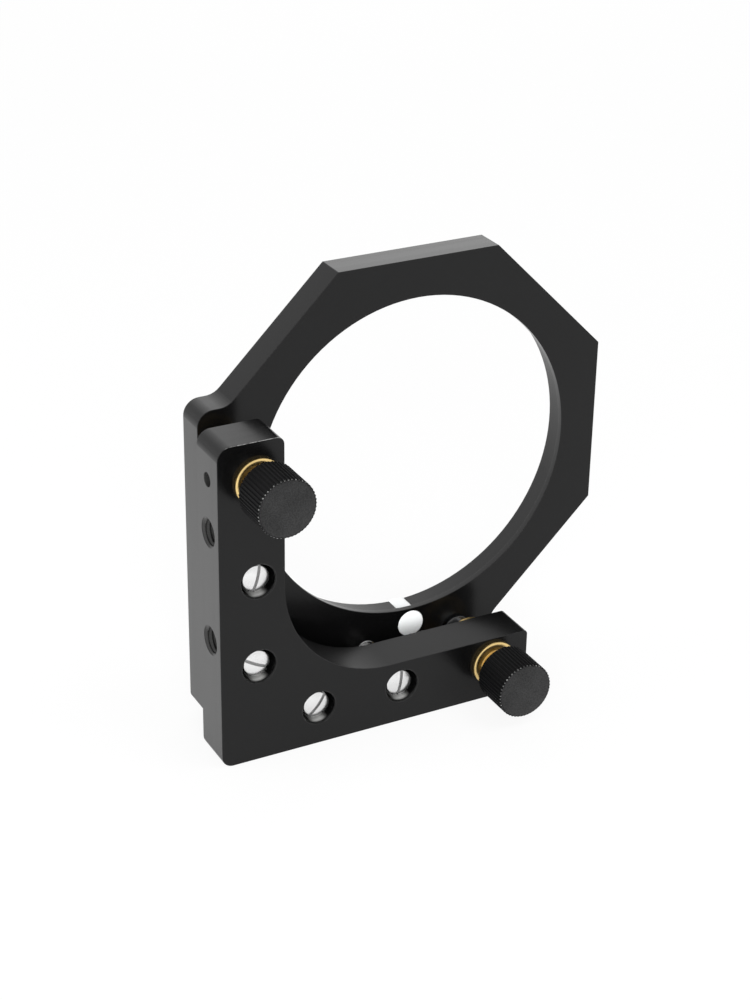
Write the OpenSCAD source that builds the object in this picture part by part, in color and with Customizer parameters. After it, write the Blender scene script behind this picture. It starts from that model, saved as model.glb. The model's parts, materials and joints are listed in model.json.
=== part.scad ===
// Kinematic mirror mount for a round optic.
// An octagonal front plate holds the optic. It stands off an L-shaped back plate on a pivot ball in the
// heel of the L and on two fine adjusters at the ends of its arms. Four screws with disc springs pull
// the two plates together.
//
// Frame: +Y is the optical axis, towards the front. +Z is up. The origin is the centre of the optic's
// seat, on the face of the lip that the optic rests against. Points on a plate are [x, z] pairs.

/* [Optic] */
// Diameter of the round optic
optic_d = 76.2; // [60:0.1:90]
// Radial gap between the optic and the wall of its pocket
optic_gap = 0.25; // [0.2:0.05:0.5]
// How far the rear lip reaches in past the pocket wall
lip_w = 1.3; // [0.8:0.1:2.5]
// Thickness of the rear lip
lip_t = 1.4; // [0.8:0.1:3]
// Edge break at the mouth of the pocket
pocket_chamfer = 0.3; // [0.1:0.1:0.6]

/* [Optic rods and set screw] */
// Diameter of the two nylon rods that the optic rests on
rod_d = 6.3; // [5:0.1:8]
// Depth turned off the inner side of each rod
rod_flat = 0.4; // [0.2:0.05:0.8]
// Radial gap between the optic and its rods
rod_gap = 0.05; // [0.02:0.01:0.15]
// Diameter of the set screw that holds the optic
optic_screw_d = 4; // [3:0.5:4.5]
// Length of the set screw that holds the optic
optic_screw_l = 4.5; // [3:0.5:5]
// Width across the flats of that set screw's hexagon socket
optic_screw_key = 2; // [1.5:0.1:2.2]
// Diameter of the nylon tip on that set screw
screw_tip_d = 2.6; // [1.5:0.1:2.8]
// Length of the nylon tip on that set screw
screw_tip_l = 1.4; // [1:0.1:1.8]
// Radial gap between the optic and the nylon tip
screw_tip_gap = 0.12; // [0.1:0.01:0.2]

/* [Front plate] */
// Thickness of the front plate
front_t = 7.3; // [6.5:0.1:12]
// Wall between the optic's pocket and the flats of the octagon
frame_wall = 7.25; // [6.5:0.05:12]
// How far the two tabs stand out past the octagon's flats
tab_margin = 5.05; // [3.5:0.05:8]
// How far the tabs reach past the ends of the back plate's arms
tab_past_arm = 0.45; // [-2:0.05:3]
// Corner radius at the end of each tab
tab_corner_r = 3.5; // [1:0.1:4]
// Fillet between each tab and the octagon's sloping side
tab_fillet_r = 4.5; // [1:0.1:8]
// Corner radius at the front plate's heel
front_heel_r = 1.7; // [0.5:0.1:4]

/* [Back plate] */
// Thickness of the back plate
back_t = 10; // [9:0.1:16]
// Gap between the two plates
plate_gap = 6.7; // [6.2:0.05:9]
// How far the back plate's outer faces stand out past the tabs
back_overhang = 3.1; // [1:0.05:6]
// Length of each arm, from the heel
arm_l = 74; // [68:0.5:86]
// Width of each arm
arm_w = 14.7; // [14:0.1:20]
// Fillet radius in the inner corner of the L
inner_corner_r = 25; // [4:0.5:28]
// Corner radius at the top of the upright arm, outer side
top_outer_r = 3; // [0.5:0.1:5]
// Corner radius at the top of the upright arm, inner side
top_inner_r = 1.8; // [0.5:0.1:4]
// Corner radius at the heel of the L
heel_r = 2.5; // [0.5:0.1:5]
// Corner radius at the end of the flat arm
flat_end_r = 1; // [0.3:0.1:4]
// Distance of the screws, adjusters and pivot from the outer faces
line_inset = 8.75; // [8:0.05:9]
// Distance of each adjuster's axis from the end of its arm
adjuster_inset = 8.65; // [7:0.05:12]

/* [Tapped mounting holes] */
// Minor diameter of the tapped holes in the outer faces
tapped_d = 5; // [3:0.1:6]
// Full depth of the tapped holes
tapped_depth = 6.3; // [4:0.1:6.5]
// Width of the countersink at their mouths, measured along the radius
tapped_chamfer = 0.7; // [0.2:0.1:1]
// Distance of the first tapped hole from the heel
tapped_first = 28.5; // [26:0.25:30]
// Distance between two tapped holes on one face
tapped_pitch = 25; // [22:0.5:26]

/* [Tension screws and disc springs] */
// Distance of the first tension screw from the heel
tension_first = 22.6; // [20:0.1:24]
// Distance between two tension screws on one arm
tension_pitch = 20; // [16:0.5:22]
// Diameter of the screw
screw_d = 3; // [2:0.1:3.2]
// Diameter of its slotted head
head_d = 6; // [5:0.1:6.2]
// Height of the head at its rim
head_rim = 1.5; // [1.2:0.1:2]
// Height of the dome above the rim
head_dome = 0.4; // [0.2:0.05:0.6]
// Depth of the head's rim below the back plate's face
head_recess = 1.2; // [0.8:0.1:2]
// Width of the screwdriver slot
slot_w = 0.8; // [0.5:0.1:1.2]
// Depth of the slot, from the top of the dome
slot_depth = 1.1; // [0.7:0.1:1.4]
// Diameter of the counterbore
counterbore_d = 7.6; // [7.4:0.1:8.5]
// Edge break at the counterbore's mouth
counterbore_chamfer = 0.2; // [0.1:0.05:0.4]
// Material left under the counterbore
counterbore_floor = 2.3; // [1.5:0.1:3.5]
// Diameter of the clearance hole under the counterbore
screw_hole_d = 4.2; // [4:0.1:4.8]
// Outer diameter of a disc spring
disc_d = 6; // [5:0.1:6.2]
// Thickness of a disc spring
disc_t = 0.3; // [0.2:0.05:0.4]
// Cone height of a disc spring, before it is squeezed
disc_cone = 0.18; // [0.12:0.02:0.25]
// Diameter of the threaded insert that takes the screw
insert_d = 4.8; // [4.2:0.1:5.5]
// Length of the threaded insert
insert_l = 4.5; // [3:0.1:5.5]
// How deep the screw reaches into the insert
screw_bite = 4; // [2:0.1:5]

/* [Pivot and seats] */
// Diameter of the pivot ball between the plates
pivot_ball_d = 6; // [5:0.1:6.3]
// Diameter of the hardened seats
seat_d = 6.6; // [6.4:0.1:9]
// Diameter of the stem that presses into the plate
seat_stem_d = 5; // [4:0.1:6]
// Length of that stem
seat_stem_l = 3.5; // [2:0.1:4.5]
// Distance from the pivot ball's centre to the face of its seats
pivot_face = 1.75; // [1.2:0.05:2]
// Distance from the tip ball's centre to the face of the vee seat
vee_face = 1.5; // [1:0.05:1.7]

/* [Adjusters] */
// Diameter of the adjuster screw
adjuster_d = 6; // [5:0.1:6.5]
// Length of the adjuster screw that is hidden in the knob
adjuster_in_knob = 6; // [4:0.1:7]
// Diameter of the ball at the adjuster's tip
tip_ball_d = 5; // [4:0.1:5.4]
// Distance from the tip ball's centre to the end of the screw
tip_to_screw = 1; // [0.6:0.05:1.4]
// Edge break on the adjuster screw's tip
adjuster_chamfer = 0.4; // [0.2:0.05:0.6]
// Diameter of the brass bushing where it passes through the plate
bushing_d = 8.4; // [8:0.1:9]
// Diameter of the bushing's flange
flange_d = 10.4; // [9.4:0.1:11.2]
// Thickness of the bushing's flange
flange_t = 1.2; // [0.8:0.1:2]
// Edge break around the flange
flange_chamfer = 0.25; // [0.1:0.05:0.4]
// Diameter of the bushing's neck behind the flange
neck_d = 8; // [7.6:0.1:8.6]
// Length of that neck
neck_l = 1.7; // [0.8:0.1:2.2]
// Diameter of the ring nut that holds the bushing
ring_nut_d = 10.6; // [9.6:0.1:11.4]
// Thickness of the ring nut
ring_nut_t = 1.9; // [1.2:0.1:2.2]
// Width of the two spanner notches in the ring nut
notch_w = 1.6; // [1:0.1:2.2]
// Depth of those notches, from the rim
notch_depth = 0.6; // [0.4:0.05:0.8]
// Diameter of the lock screw that grips the bushing
lock_screw_d = 3; // [2:0.1:3.5]
// Length of the lock screw
lock_screw_l = 3.3; // [2.5:0.1:3.6]
// Width across the flats of the lock screw's hexagon socket
lock_screw_key = 1.5; // [1:0.1:1.6]
// Depth of the hexagon sockets in both kinds of set screw
key_depth = 1.5; // [1:0.1:2]

/* [Knobs] */
// Diameter over the knurl
knob_d = 12.7; // [11:0.1:14]
// Length of the knob
knob_l = 9.3; // [8:0.1:14]
// Gap between the bushing's flange and the knob
knob_gap = 3.3; // [2.5:0.1:6]
// Diameter of the counterbore that lets the knob pass over the bushing's neck
knob_bore_d = 9.2; // [8.8:0.1:9.6]
// Depth of that counterbore
knob_bore_depth = 2.5; // [1.6:0.1:3]
// Edge break at both ends of the knob
knob_chamfer = 0.3; // [0.2:0.05:0.8]
// Distance from one ridge of the knurl to the next
knurl_pitch = 0.82; // [0.6:0.02:1.5]
// Depth of the knurl's grooves
knurl_depth = 0.26; // [0.1:0.02:0.4]
// Share of the pitch that the flat top of a ridge takes
knurl_crest = 0.36; // [0.1:0.02:0.6]

/* [Fits] */
// Radial gap of a running fit, such as the adjuster screw in its bushing
running_gap = 0.05; // [0.02:0.01:0.08]
// Radial gap of a part that is pressed or screwed home
press_gap = 0.02; // [0.01:0.01:0.04]
// Gap between a ball and its seat
ball_gap = 0.03; // [0.02:0.01:0.06]
// Gap between two neighbouring discs of a spring stack
disc_gap = 0.02; // [0.01:0.01:0.04]

/* [Hidden] */

$fn = 96;
over = 1;           // cutters run this far past the faces they cut
drill_tip = 0.6;    // height of a drill point over its radius

anodised = "#2c2c2e";
knob_black = "#333335";
brass = "#c9a24a";
steel = "#c9cbd0";
dark_steel = "#8d9096";
nylon = "#eef0f0";

// Planes across the optical axis
front_face = front_t - lip_t;
front_rear = -lip_t;
back_front = front_rear - plate_gap;
back_rear = back_front - back_t;
ball_plane = front_rear - plate_gap / 2;
back_mid = (back_front + back_rear) / 2;
flange_rear = back_rear - flange_t;
knob_near = flange_rear - knob_gap;
knob_far = knob_near - knob_l;
head_top = back_rear + head_recess;
head_under = head_top + head_rim;
spring_floor = back_front - counterbore_floor;

// Distances from the optical axis
pocket_r = optic_d / 2 + optic_gap;
aperture_r = pocket_r - lip_w;
frame_half = pocket_r + frame_wall;
tab_out = -(frame_half + tab_margin);
heel = tab_out - back_overhang;
arm_end = heel + arm_l;
tab_end = arm_end + tab_past_arm;
line = heel + line_inset;
adjuster_at = arm_end - adjuster_inset;
rod_seat_r = optic_d / 2 + rod_gap;
rod_at = rod_seat_r + rod_d / 2 - rod_flat;
tip_end_r = optic_d / 2 + screw_tip_gap;
screw_start_r = tip_end_r + screw_tip_l;

// A tab's end meets the octagon on its sloping side, or lower down on its flat if the arms are short
meet_x = max(-frame_half, tab_end - frame_half * sqrt(2));
side_angle = meet_x > -frame_half ? 45 : 90;
tab_flat = meet_x - tab_out;
end_corner_r = min(tab_corner_r, 0.7 * tab_flat);
fillet_half = 90 - side_angle / 2;
end_fillet_r = min(tab_fillet_r, 0.9 * (tab_flat - end_corner_r) * tan(fillet_half));
fillet_centre = [meet_x, tab_end] + polar(end_fillet_r / sin(fillet_half), side_angle + fillet_half);
fillet_reach = end_fillet_r / tan(fillet_half);
// The fillet of the upright arm's tab, anticlockwise from the corner that it fills
fillet_corners = [
    [meet_x, tab_end] - polar(over, side_angle + fillet_half),
    [meet_x, tab_end] + polar(fillet_reach, side_angle),
    fillet_centre,
    [meet_x - fillet_reach, tab_end]
];

pivot = [line, line];
upper = [line, adjuster_at];
lower = [adjuster_at, line];
insert_cut = insert_l + press_gap;
stem_cut = seat_stem_l + press_gap;

// The tension screws, from the top of the upright arm round the heel to the end of the flat arm
near_screw = heel + tension_first;
far_screw = near_screw + tension_pitch;
tension_points = [[line, far_screw], [line, near_screw], [near_screw, line], [far_screw, line]];
// The slots stand as the screws happen to be set
slot_angles = [74, 153, 50, 79];

disc_space = spring_floor - head_under;
disc_count = floor(disc_space / (disc_t + disc_cone));
disc_step = disc_space / disc_count;
disc_bore = screw_d + 0.4;

knurl_count = round(PI * knob_d / knurl_pitch);

function polar(r, a) = [r * cos(a), r * sin(a)];

// The outline of the knurl: two points on the top of each ridge and one in the groove after it.
// Each point is given as its place along the pitch and its depth.
function knurl_outline() = [
    for (i = [0 : knurl_count - 1])
        for (point = [[0, 0], [knurl_crest, 0], [(1 + knurl_crest) / 2, knurl_depth]])
            polar(knob_d / 2 - point[1], (i + point[0]) * 360 / knurl_count)
];

// ---------- helpers ----------

// Puts something turned about Z onto an axis along Y, at point p of the plate, starting at plane y
module on_axis(p, y) {
    translate([p[0], y, p[1]])
        rotate([-90, 0, 0])
            children();
}

// Extrudes an outline drawn in x and z from plane y0 to plane y1
module slab(y0, y1) {
    translate([0, y1, 0])
        rotate([90, 0, 0])
            linear_extrude(height = y1 - y0)
                children();
}

// A round bar along Y at point p, from plane y0 to plane y1. It also cuts the straight holes.
module bar(p, d, y0, y1) {
    on_axis(p, y0)
        cylinder(d = d, h = y1 - y0);
}

// What lies between the corner at the origin and a circle that touches both of its edges.
// Taken away, it rounds an outer corner; added, it fills an inner one.
module corner(r) {
    difference() {
        translate([-over, -over])
            square(r + over);
        translate([r, r])
            circle(r);
    }
}

// The mirror image of a point across the line x = z
function across(p) = [p[1], p[0]];

// A hexagon socket that opens at the origin and goes down along -Z
module key_socket(key) {
    translate([0, 0, -key_depth])
        cylinder(d = key / cos(30), h = key_depth + over, $fn = 6);
}

// A headless screw with a hexagon socket, from the origin up along Z
module set_screw(d, l, key) {
    edge = d / 10;
    r = d / 2;
    difference() {
        rotate_extrude()
            polygon([[0, 0], [r - edge, 0], [r, edge], [r, l - edge], [r - edge, l], [0, l]]);
        translate([0, 0, l])
            key_socket(key);
    }
}

// ---------- plates ----------

// The fillet between a tab's end and the side of the octagon that it meets. It is what lies inside
// four corners and outside a circle.
module tab_fillet(corners, centre) {
    difference() {
        polygon(corners);
        translate(centre)
            circle(end_fillet_r);
    }
}

module front_outline() {
    difference() {
        union() {
            rotate(22.5)
                circle(r = frame_half / cos(22.5), $fn = 8);
            translate([tab_out, tab_out])
                square([-tab_out, tab_end - tab_out]);
            translate([tab_out, tab_out])
                square([tab_end - tab_out, -tab_out]);
            tab_fillet(fillet_corners, fillet_centre);
            tab_fillet([for (i = [3:-1:0]) across(fillet_corners[i])], across(fillet_centre));
        }
        translate([tab_out, tab_end])
            rotate(-90)
                corner(end_corner_r);
        translate([tab_end, tab_out])
            rotate(90)
                corner(end_corner_r);
        translate([tab_out, tab_out])
            corner(front_heel_r);
    }
}

// The set screw's axis: from the optical axis up to the right, halfway along the pocket
module on_screw_axis(r) {
    translate([0, front_face / 2, 0])
        rotate([0, 45, 0])
            translate([0, 0, r])
                children();
}

module front_plate() {
    color(anodised)
        difference() {
            slab(front_rear, front_face)
                front_outline();
            bar([0, 0], 2 * aperture_r, front_rear - over, front_face);
            bar([0, 0], 2 * pocket_r, 0, front_face + over);
            on_axis([0, 0], front_face - pocket_chamfer)
                cylinder(r1 = pocket_r, r2 = pocket_r + pocket_chamfer + over, h = pocket_chamfer + over);
            for (p = [[-rod_at, 0], [0, -rod_at]])
                bar(p, rod_d + 2 * press_gap, front_rear - over, front_face + over);
            on_screw_axis(aperture_r)
                cylinder(d = optic_screw_d + 2 * press_gap, h = frame_half);
            for (p = tension_points)
                bar(p, insert_d + 2 * press_gap, front_rear - over, front_rear + insert_cut);
            for (p = [pivot, upper, lower])
                bar(p, seat_stem_d + 2 * press_gap, front_rear - over, front_rear + stem_cut);
        }
}

module back_outline() {
    difference() {
        union() {
            translate([heel, heel])
                square([arm_w, arm_l]);
            translate([heel, heel])
                square([arm_l, arm_w]);
            translate([heel + arm_w, heel + arm_w])
                corner(inner_corner_r);
        }
        translate([heel, heel])
            corner(heel_r);
        translate([heel, arm_end])
            rotate(-90)
                corner(top_outer_r);
        translate([heel + arm_w, arm_end])
            rotate(180)
                corner(top_inner_r);
        translate([arm_end, heel])
            rotate(90)
                corner(flat_end_r);
        translate([arm_end, heel + arm_w])
            rotate(180)
                corner(flat_end_r);
    }
}

// A tapped hole from the origin up along Z, with its countersink and drill point
module tapped_hole() {
    wall_r = tapped_d / 2;
    rotate_extrude()
        polygon([
            [0, -over],
            [wall_r + tapped_chamfer + over, -over],
            [wall_r, tapped_chamfer],
            [wall_r, tapped_depth],
            [0, tapped_depth + drill_tip * wall_r]
        ]);
}

// The counterbore, clearance hole and edge break for one tension screw
module tension_hole(p) {
    mouth_r = counterbore_d / 2 + counterbore_chamfer;
    bar(p, screw_hole_d, back_rear - over, back_front + over);
    bar(p, counterbore_d, back_rear - over, spring_floor);
    on_axis(p, back_rear - over)
        cylinder(r1 = mouth_r + over, r2 = counterbore_d / 2, h = counterbore_chamfer + over);
}

// Puts something drawn up along Z onto the left face of the back plate, pointing in, at height z
module on_left_face(z) {
    translate([heel, back_mid, z])
        rotate([0, 90, 0])
            children();
}

// The same on the bottom face, at distance x along it
module on_bottom_face(x) {
    translate([x, back_mid, heel])
        children();
}

module back_plate() {
    lock_hole_l = line_inset;
    color(anodised)
        difference() {
            slab(back_rear, back_front)
                back_outline();
            for (p = tension_points)
                tension_hole(p);
            for (p = [upper, lower])
                bar(p, bushing_d + 2 * press_gap, back_rear - over, back_front + over);
            bar(pivot, seat_stem_d + 2 * press_gap, back_front - stem_cut, back_front + over);
            for (i = [0 : 1]) {
                on_left_face(heel + tapped_first + i * tapped_pitch)
                    tapped_hole();
                on_bottom_face(heel + tapped_first + i * tapped_pitch)
                    tapped_hole();
            }
            on_left_face(adjuster_at)
                translate([0, 0, -over])
                    cylinder(d = lock_screw_d + 2 * press_gap, h = lock_hole_l + over);
            on_bottom_face(adjuster_at)
                translate([0, 0, -over])
                    cylinder(d = lock_screw_d + 2 * press_gap, h = lock_hole_l + over);
        }
}

// ---------- pivot and seats ----------

// A hardened pad on a stem: the pad's face is at the origin and the stem points up along Z.
// The face has a 90 degree cone of the given depth.
module seat(pad_t, cone_depth) {
    stem_r = seat_stem_d / 2;
    rotate_extrude()
        polygon([
            [0, cone_depth],
            [cone_depth, 0],
            [seat_d / 2, 0],
            [seat_d / 2, pad_t],
            [stem_r, pad_t],
            [stem_r, pad_t + seat_stem_l],
            [0, pad_t + seat_stem_l]
        ]);
}

// A seat for the pivot ball, whose centre lies below the face by pivot_face
module cone_seat() {
    seat(plate_gap / 2 - pivot_face, (pivot_ball_d / 2 + ball_gap) * sqrt(2) - pivot_face);
}

module pivot_ball() {
    color(steel)
        on_axis(pivot, ball_plane)
            sphere(d = pivot_ball_d);
}

module front_pivot_seat() {
    color(dark_steel)
        on_axis(pivot, ball_plane + pivot_face)
            cone_seat();
}

module back_pivot_seat() {
    color(dark_steel)
        on_axis(pivot, ball_plane - pivot_face)
            mirror([0, 0, 1])
                cone_seat();
}

// The seat of the upper adjuster: a 90 degree groove that runs towards the pivot
module vee_seat() {
    apex = (tip_ball_d / 2 + ball_gap) * sqrt(2);
    color(dark_steel)
        difference() {
            on_axis(upper, ball_plane + vee_face)
                seat(plate_gap / 2 - vee_face, 0);
            translate([upper[0], ball_plane, upper[1] - seat_d])
                linear_extrude(height = 2 * seat_d)
                    polygon([[-apex, 0], [apex, 0], [0, apex]]);
        }
}

// The seat of the lower adjuster: a flat pad
module flat_seat() {
    face = tip_ball_d / 2 + ball_gap;
    color(dark_steel)
        on_axis(lower, ball_plane + face)
            seat(plate_gap / 2 - face, 0);
}

// ---------- adjusters ----------

module bushing(p) {
    bore_r = adjuster_d / 2 + running_gap;
    flange_r = flange_d / 2;
    body_end = flange_t + back_t + ring_nut_t;
    color(brass)
        on_axis(p, flange_rear)
            rotate_extrude()
                polygon([
                    [bore_r, -neck_l],
                    [neck_d / 2 - flange_chamfer, -neck_l],
                    [neck_d / 2, flange_chamfer - neck_l],
                    [neck_d / 2, 0],
                    [flange_r - flange_chamfer, 0],
                    [flange_r, flange_chamfer],
                    [flange_r, flange_t],
                    [bushing_d / 2, flange_t],
                    [bushing_d / 2, body_end],
                    [bore_r, body_end]
                ]);
}

module ring_nut(p) {
    nut_r = ring_nut_d / 2;
    color(brass)
        on_axis(p, back_front)
            difference() {
                rotate_extrude()
                    polygon([
                        [bushing_d / 2 + press_gap, 0],
                        [nut_r, 0],
                        [nut_r, ring_nut_t - flange_chamfer],
                        [nut_r - flange_chamfer, ring_nut_t],
                        [bushing_d / 2 + press_gap, ring_nut_t]
                    ]);
                for (side = [-1, 1])
                    translate([side * (nut_r - notch_depth + over), 0, ring_nut_t / 2])
                        cube([2 * over, notch_w, ring_nut_t + over], center = true);
            }
}

// The ends of both lock screws bear on the bushing and their sockets face out
module upper_lock_screw() {
    color(steel)
        translate([line - bushing_d / 2 - press_gap, back_mid, adjuster_at])
            rotate([0, -90, 0])
                set_screw(lock_screw_d, lock_screw_l, lock_screw_key);
}

module lower_lock_screw() {
    color(steel)
        translate([adjuster_at, back_mid, line - bushing_d / 2 - press_gap])
            rotate([180, 0, 0])
                set_screw(lock_screw_d, lock_screw_l, lock_screw_key);
}

module tip_ball(p) {
    color(steel)
        on_axis(p, ball_plane)
            sphere(d = tip_ball_d);
}

module adjuster_screw(p) {
    screw_end = ball_plane - tip_to_screw;
    screw_start = knob_near - adjuster_in_knob;
    screw_l = screw_end - screw_start;
    screw_r = adjuster_d / 2;
    color(steel)
        difference() {
            on_axis(p, screw_start)
                rotate_extrude()
                    polygon([
                        [0, 0],
                        [screw_r, 0],
                        [screw_r, screw_l - adjuster_chamfer],
                        [screw_r - adjuster_chamfer, screw_l],
                        [0, screw_l]
                    ]);
            on_axis(p, ball_plane)
                sphere(d = tip_ball_d + 2 * ball_gap);
        }
}

// The knurled bar that a knob is turned from
module knurled_bar(p) {
    translate([p[0], 0, p[1]])
        slab(knob_far, knob_near)
            polygon(knurl_outline());
}

module knob(p) {
    edge_r = knob_d / 2 - knob_chamfer;
    past_r = edge_r + knob_chamfer + over;
    color(knob_black)
        difference() {
            intersection() {
                knurled_bar(p);
                on_axis(p, knob_far)
                    rotate_extrude()
                        polygon([
                            [0, 0],
                            [edge_r, 0],
                            [past_r, knob_chamfer + over],
                            [past_r, knob_l - knob_chamfer - over],
                            [edge_r, knob_l],
                            [0, knob_l]
                        ]);
            }
            bar(p, adjuster_d + 2 * press_gap, knob_near - adjuster_in_knob, knob_near + over);
            bar(p, knob_bore_d, knob_near - knob_bore_depth, knob_near + over);
        }
}

// ---------- tension screws ----------

module tension_screw(i) {
    tip = front_rear + screw_bite;
    dome_top = head_top - head_dome;
    dome_r = (pow(head_d / 2, 2) + pow(head_dome, 2)) / (2 * head_dome);
    color(steel)
        difference() {
            union() {
                bar(tension_points[i], screw_d, head_top, tip);
                intersection() {
                    bar(tension_points[i], head_d, dome_top, head_under);
                    on_axis(tension_points[i], dome_top + dome_r)
                        sphere(dome_r);
                }
            }
            translate([tension_points[i][0], dome_top - over, tension_points[i][1]])
                rotate([0, -slot_angles[i], 0])
                    translate([-head_d, 0, -slot_w / 2])
                        cube([2 * head_d, slot_depth + over, slot_w]);
        }
}

// Disc springs in series, each turned over against the last
module disc_springs(i) {
    cone = disc_step - disc_gap - disc_t;
    color(dark_steel)
        on_axis(tension_points[i], head_under + disc_gap / 2)
            for (k = [0 : disc_count - 1]) {
                inner = k % 2 == 0 ? 0 : cone;
                outer = cone - inner;
                translate([0, 0, k * disc_step])
                    rotate_extrude()
                        polygon([
                            [disc_bore / 2, inner],
                            [disc_d / 2, outer],
                            [disc_d / 2, outer + disc_t],
                            [disc_bore / 2, inner + disc_t]
                        ]);
            }
}

module thread_insert(i) {
    color(dark_steel)
        on_axis(tension_points[i], front_rear)
            difference() {
                cylinder(d = insert_d, h = insert_l);
                translate([0, 0, -over])
                    cylinder(d = screw_d + 2 * press_gap, h = insert_l + 2 * over);
            }
}

// ---------- optic retention ----------

// A nylon rod through the plate, turned to the optic's radius along the pocket
module optic_rod(p) {
    color(nylon)
        difference() {
            bar(p, rod_d, front_rear, front_face);
            bar([0, 0], 2 * rod_seat_r, 0, front_face + over);
        }
}

module optic_set_screw() {
    color(steel)
        on_screw_axis(screw_start_r)
            set_screw(optic_screw_d, optic_screw_l, optic_screw_key);
}

module optic_screw_tip() {
    color(nylon)
        on_screw_axis(tip_end_r)
            cylinder(d = screw_tip_d, h = screw_tip_l);
}

back_plate();
front_plate();
pivot_ball();
back_pivot_seat();
front_pivot_seat();
vee_seat();
flat_seat();
bushing(upper);  // upper_bushing
bushing(lower);  // lower_bushing
ring_nut(upper);  // upper_ring_nut
ring_nut(lower);  // lower_ring_nut
upper_lock_screw();
lower_lock_screw();
tip_ball(upper);  // upper_tip_ball
tip_ball(lower);  // lower_tip_ball
adjuster_screw(upper);  // upper_adjuster_screw
adjuster_screw(lower);  // lower_adjuster_screw
knob(upper);  // upper_knob
knob(lower);  // lower_knob
tension_screw(0);  // tension_screw_1
tension_screw(1);  // tension_screw_2
tension_screw(2);  // tension_screw_3
tension_screw(3);  // tension_screw_4
disc_springs(0);  // disc_springs_1
disc_springs(1);  // disc_springs_2
disc_springs(2);  // disc_springs_3
disc_springs(3);  // disc_springs_4
thread_insert(0);  // thread_insert_1
thread_insert(1);  // thread_insert_2
thread_insert(2);  // thread_insert_3
thread_insert(3);  // thread_insert_4
optic_rod([-rod_at, 0]);  // left_optic_rod
optic_rod([0, -rod_at]);  // bottom_optic_rod
optic_set_screw();
optic_screw_tip();
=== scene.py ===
"""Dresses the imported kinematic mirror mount: its plates, adjusters, screws and springs, and the studio."""

import json
import math

import bmesh
import bpy
from bpy.props import FloatProperty, FloatVectorProperty, IntProperty, PointerProperty
from mathutils import Matrix, Vector


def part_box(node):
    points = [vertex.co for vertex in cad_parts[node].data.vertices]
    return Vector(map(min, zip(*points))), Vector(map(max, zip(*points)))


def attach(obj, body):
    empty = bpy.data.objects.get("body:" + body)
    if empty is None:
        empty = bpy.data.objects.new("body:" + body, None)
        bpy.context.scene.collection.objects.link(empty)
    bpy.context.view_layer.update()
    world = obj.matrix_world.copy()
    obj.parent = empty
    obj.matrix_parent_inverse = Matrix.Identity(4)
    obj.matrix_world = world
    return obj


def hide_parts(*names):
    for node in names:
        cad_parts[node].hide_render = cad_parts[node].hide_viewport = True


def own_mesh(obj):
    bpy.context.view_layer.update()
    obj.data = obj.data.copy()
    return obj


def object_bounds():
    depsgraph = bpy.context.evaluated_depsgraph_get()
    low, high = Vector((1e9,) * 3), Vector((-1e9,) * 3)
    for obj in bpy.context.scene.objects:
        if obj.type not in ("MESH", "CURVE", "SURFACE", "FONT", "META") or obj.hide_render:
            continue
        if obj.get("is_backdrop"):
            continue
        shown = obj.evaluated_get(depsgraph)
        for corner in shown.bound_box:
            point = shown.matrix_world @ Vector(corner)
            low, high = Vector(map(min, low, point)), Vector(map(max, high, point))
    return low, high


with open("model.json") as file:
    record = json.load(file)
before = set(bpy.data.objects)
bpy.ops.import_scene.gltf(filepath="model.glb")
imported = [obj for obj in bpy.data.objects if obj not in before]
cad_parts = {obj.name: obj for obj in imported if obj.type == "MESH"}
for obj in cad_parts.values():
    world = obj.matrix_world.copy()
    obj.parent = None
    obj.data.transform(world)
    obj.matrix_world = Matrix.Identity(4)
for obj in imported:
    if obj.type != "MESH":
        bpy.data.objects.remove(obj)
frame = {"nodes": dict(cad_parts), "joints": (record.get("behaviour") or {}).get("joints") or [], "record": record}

bl_info = {
    "name": "Kinematic Mirror Mount",
    "version": (1, 0, 0),
    "blender": (4, 5, 0),
    "location": "View3D > Sidebar > Mirror Mount",
    "description": "Dresses the mount's frame with its finished pieces and lights it",
    "category": "Object",
}

MM = 0.001
WELD = 1e-6
ALONG_Y = Vector((0, 1, 0))
FACING = 0.9            # a face looks along an axis when that part of its normal is over this
LEVEL = 0.77            # a face starts to count as level when the upright part of its normal is this

ROUND_SIDES = 96
DISC_SIDES = 48
RIM_STEPS = 12
DOME_STEPS = 10
CUP_STEPS = 8

SMOOTH_ANGLE = math.radians(28)     # turned pieces keep edges crisp above this
FLATS_ANGLE = math.radians(50)      # bevelled pieces keep edges crisp above this
BEVEL_ANGLE = math.radians(30)      # edges get a bevel above this
FLAT_ANGLE = math.radians(0.5)      # faces are one flat below this

MOUNTING_FACE_GLOSS = 0.3
OUTER_FLAT_GLOSS = 0.9
BORE_GLOSS = 0.3
TOP_GLOSS = 0.35
TAB_TOP_GLOSS = 0.6
TOP_CORNER = 3 * MM     # the back plate's top and its rounded corner reach down this far
TAB_REACH = 5 * MM      # faces this near to the height of the back plate's top are the tab's
RING_WALL = 6.5 * MM    # just under the wall round the pocket, so only the pocket lies inside it

# a faint painted sheen in the walls of the tapped holes and the lock screws' holes
HOLE_PAINTED_SHEEN = 0.04
LOCK_HOLE = 1.6 * MM    # just over the radius of a lock screw's hole
HOLE_RIM = 0.1 * MM     # a hole's wall is looked for this far past its radius
HOLE_REACH = 9 * MM     # and this far from its mouth, or from the screw in it

GLINT_MIDDLE = math.radians(3)        # the middle of the painted highlight on a counterbore's wall, round from straight down
GLINT_REACH = math.radians(31)        # how far to each side of that the painted highlight goes
GLINT_STRENGTH = 1.5                  # over 1, so that the painted highlight is full in the middle
GLINT_DEPTHS = (0.5 * MM, 1.3 * MM)   # in from the plate's face, where the painted highlight starts and is full
WEAR_DEPTHS = (0.1 * MM, 0.5 * MM)  # from the top edge beside the knob, where the wear is full and ends
GLINT_SLOPE = 0.3                    # a knob's chamfers with the painted highlight look out along its axis by more than this

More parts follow.
